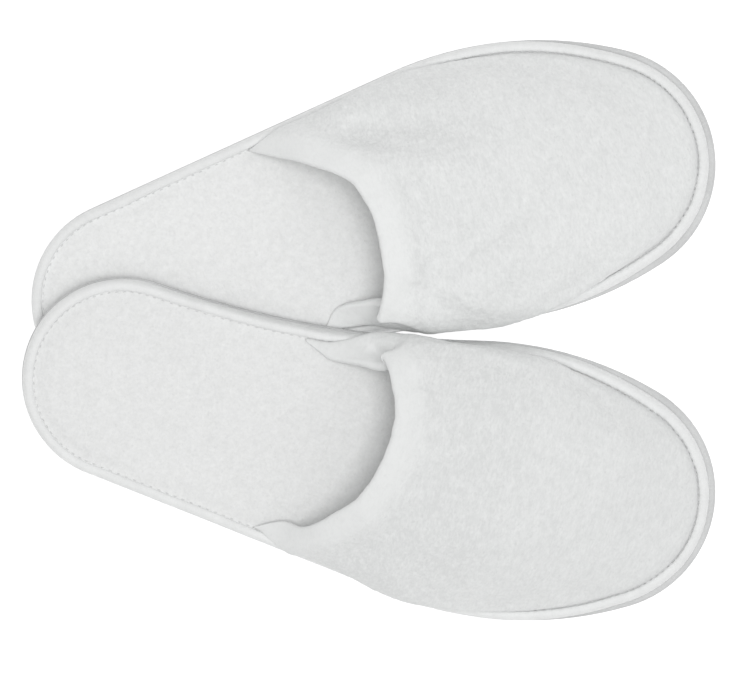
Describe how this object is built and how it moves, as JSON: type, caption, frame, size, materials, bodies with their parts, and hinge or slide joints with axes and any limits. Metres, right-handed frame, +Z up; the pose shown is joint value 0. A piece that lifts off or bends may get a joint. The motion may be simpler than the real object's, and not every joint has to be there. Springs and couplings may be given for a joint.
{
  "type": "spa slippers",
  "caption": "Pair of closed-toe terry spa slippers with EVA soles and bound edges; one lies flat and the other rests with its heel on it and lifts off.",
  "frame": {"origin": "middle of the pair's bounding box, on the ground under the soles", "axes": "+X from the heels to the toes, +Y towards the left slipper, +Z up"},
  "size_m": [0.2812, 0.2364, 0.0543],
  "materials": {
    "eva_sole": "matte embossed foam sheet",
    "insole_board": "bare fibre board",
    "insole_foam": "matte open-cell foam",
    "insole_velour": "short cut pile",
    "binding_tape": "fine woven tape",
    "sewing_thread": "spun polyester thread",
    "vamp_velour": "cut pile with clumped tufts",
    "vamp_sponge": "matte open-cell foam",
    "vamp_lining": "short cut pile",
    "hidden_thread": "spun polyester thread"
  },
  "bodies": {
    "left_slipper": {"left_outsole": "eva_sole", "left_insole_board": "insole_board", "left_insole_foam": "insole_foam", "left_insole_cover": "insole_velour", "left_edge_binding": "binding_tape", "left_binding_stitches": "sewing_thread", "left_vamp_cover": "vamp_velour", "left_vamp_padding": "vamp_sponge", "left_vamp_lining": "vamp_lining", "left_throat_stitches": "hidden_thread"},
    "right_slipper": {"right_outsole": "eva_sole", "right_insole_board": "insole_board", "right_insole_foam": "insole_foam", "right_insole_cover": "insole_velour", "right_edge_binding": "binding_tape", "right_binding_stitches": "sewing_thread", "right_vamp_cover": "vamp_velour", "right_vamp_padding": "vamp_sponge", "right_vamp_lining": "vamp_lining", "right_throat_stitches": "hidden_thread"}
  },
  "joints": [
    {"name": "right_slipper_lift", "type": "slide", "parent": "left_slipper", "child": "right_slipper", "axis": [0, 0, 1], "range_m": [0, 0.12]}
  ]
}
